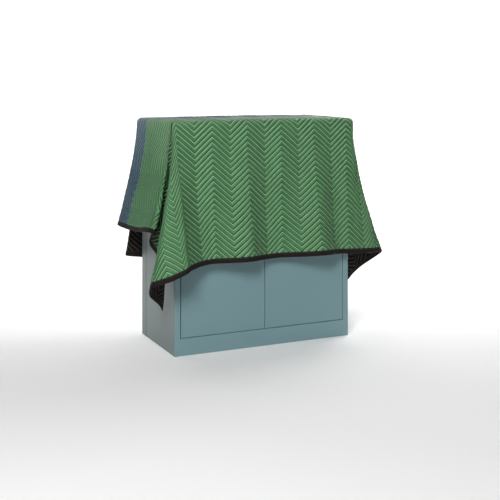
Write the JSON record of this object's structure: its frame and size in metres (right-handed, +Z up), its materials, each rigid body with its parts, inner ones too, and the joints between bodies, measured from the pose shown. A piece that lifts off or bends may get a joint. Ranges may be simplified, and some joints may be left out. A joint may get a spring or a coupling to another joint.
{
  "type": "moving blanket over a cabinet",
  "caption": "Quilted moving blanket in green and navy with a dark bound edge, draped over a plain steel cabinet with folds hanging at the corners.",
  "frame": {"origin": "centre of the cabinet's underside, on the surface it stands on", "axes": "+Z up, +X right along the cabinet's front and along the blanket's quilting lines, +Y to its rear"},
  "size_m": [1.2604, 0.8689, 1.0744],
  "materials": {
    "green_cloth": "matt quilted polyester, a little sheen",
    "navy_cloth": "matt quilted polyester, a little sheen",
    "binding_tape": "matt woven tape",
    "cabinet_paint": "satin powder coat",
    "door_paint": "satin powder coat"
  },
  "bodies": {
    "root": {"green_panel": "green_cloth", "navy_panel": "navy_cloth", "binding_front": "binding_tape", "binding_rear": "binding_tape", "binding_left": "binding_tape", "binding_right": "binding_tape", "cabinet_body": "cabinet_paint", "door_left": "door_paint", "door_right": "door_paint"}
  },
  "joints": []
}
